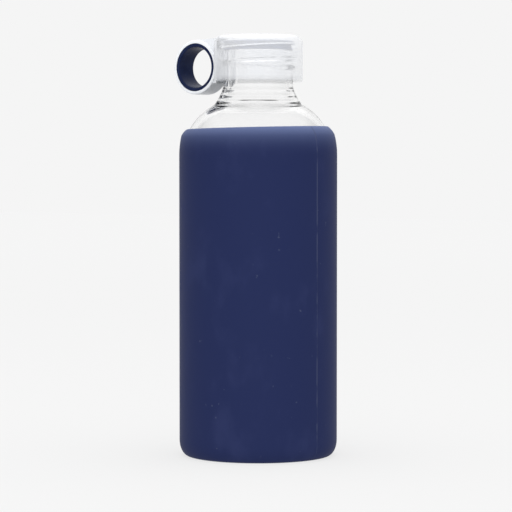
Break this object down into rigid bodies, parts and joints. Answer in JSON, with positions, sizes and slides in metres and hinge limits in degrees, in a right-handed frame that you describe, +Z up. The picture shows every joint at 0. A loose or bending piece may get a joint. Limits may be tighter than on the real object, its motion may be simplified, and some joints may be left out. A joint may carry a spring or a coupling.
{
  "type": "glass water bottle",
  "caption": "Clear glass water bottle in a fitted silicone sleeve, with a wide neck and a translucent screw cap that carries a lined finger loop.",
  "frame": {"origin": "on the bottle's axis, on the surface that the sleeve stands on", "axes": "+Z up along the bottle's axis; the carrying loop stands out along -X and its hole runs along Y"},
  "size_m": [0.084, 0.0742, 0.1971],
  "materials": {
    "clear_glass": "clear, polished",
    "sleeve_silicone": "matt, slightly dusty",
    "seal_silicone": "satin",
    "cap_plastic": "frosted, translucent",
    "loop_ring_plastic": "satin"
  },
  "bodies": {
    "bottle": {"glass_bottle": "clear_glass", "silicone_sleeve": "sleeve_silicone"},
    "seal": {"cap_seal": "seal_silicone"},
    "cap": {"screw_cap": "cap_plastic", "loop_ring": "loop_ring_plastic"}
  },
  "joints": [
    {"name": "cap_rise", "type": "slide", "parent": "bottle", "child": "seal", "axis": [0, 0, 1], "range_m": [0, 0.005]},
    {"name": "cap_turn", "type": "hinge", "parent": "seal", "child": "cap", "pos_m": [0, 0, 0.19], "axis": [0, 0, 1], "range_deg": [0, 450]}
  ],
  "couplings": [
    {"joint": "cap_rise", "follows": "cap_turn", "m_per_rad": 0.00063662}
  ]
}
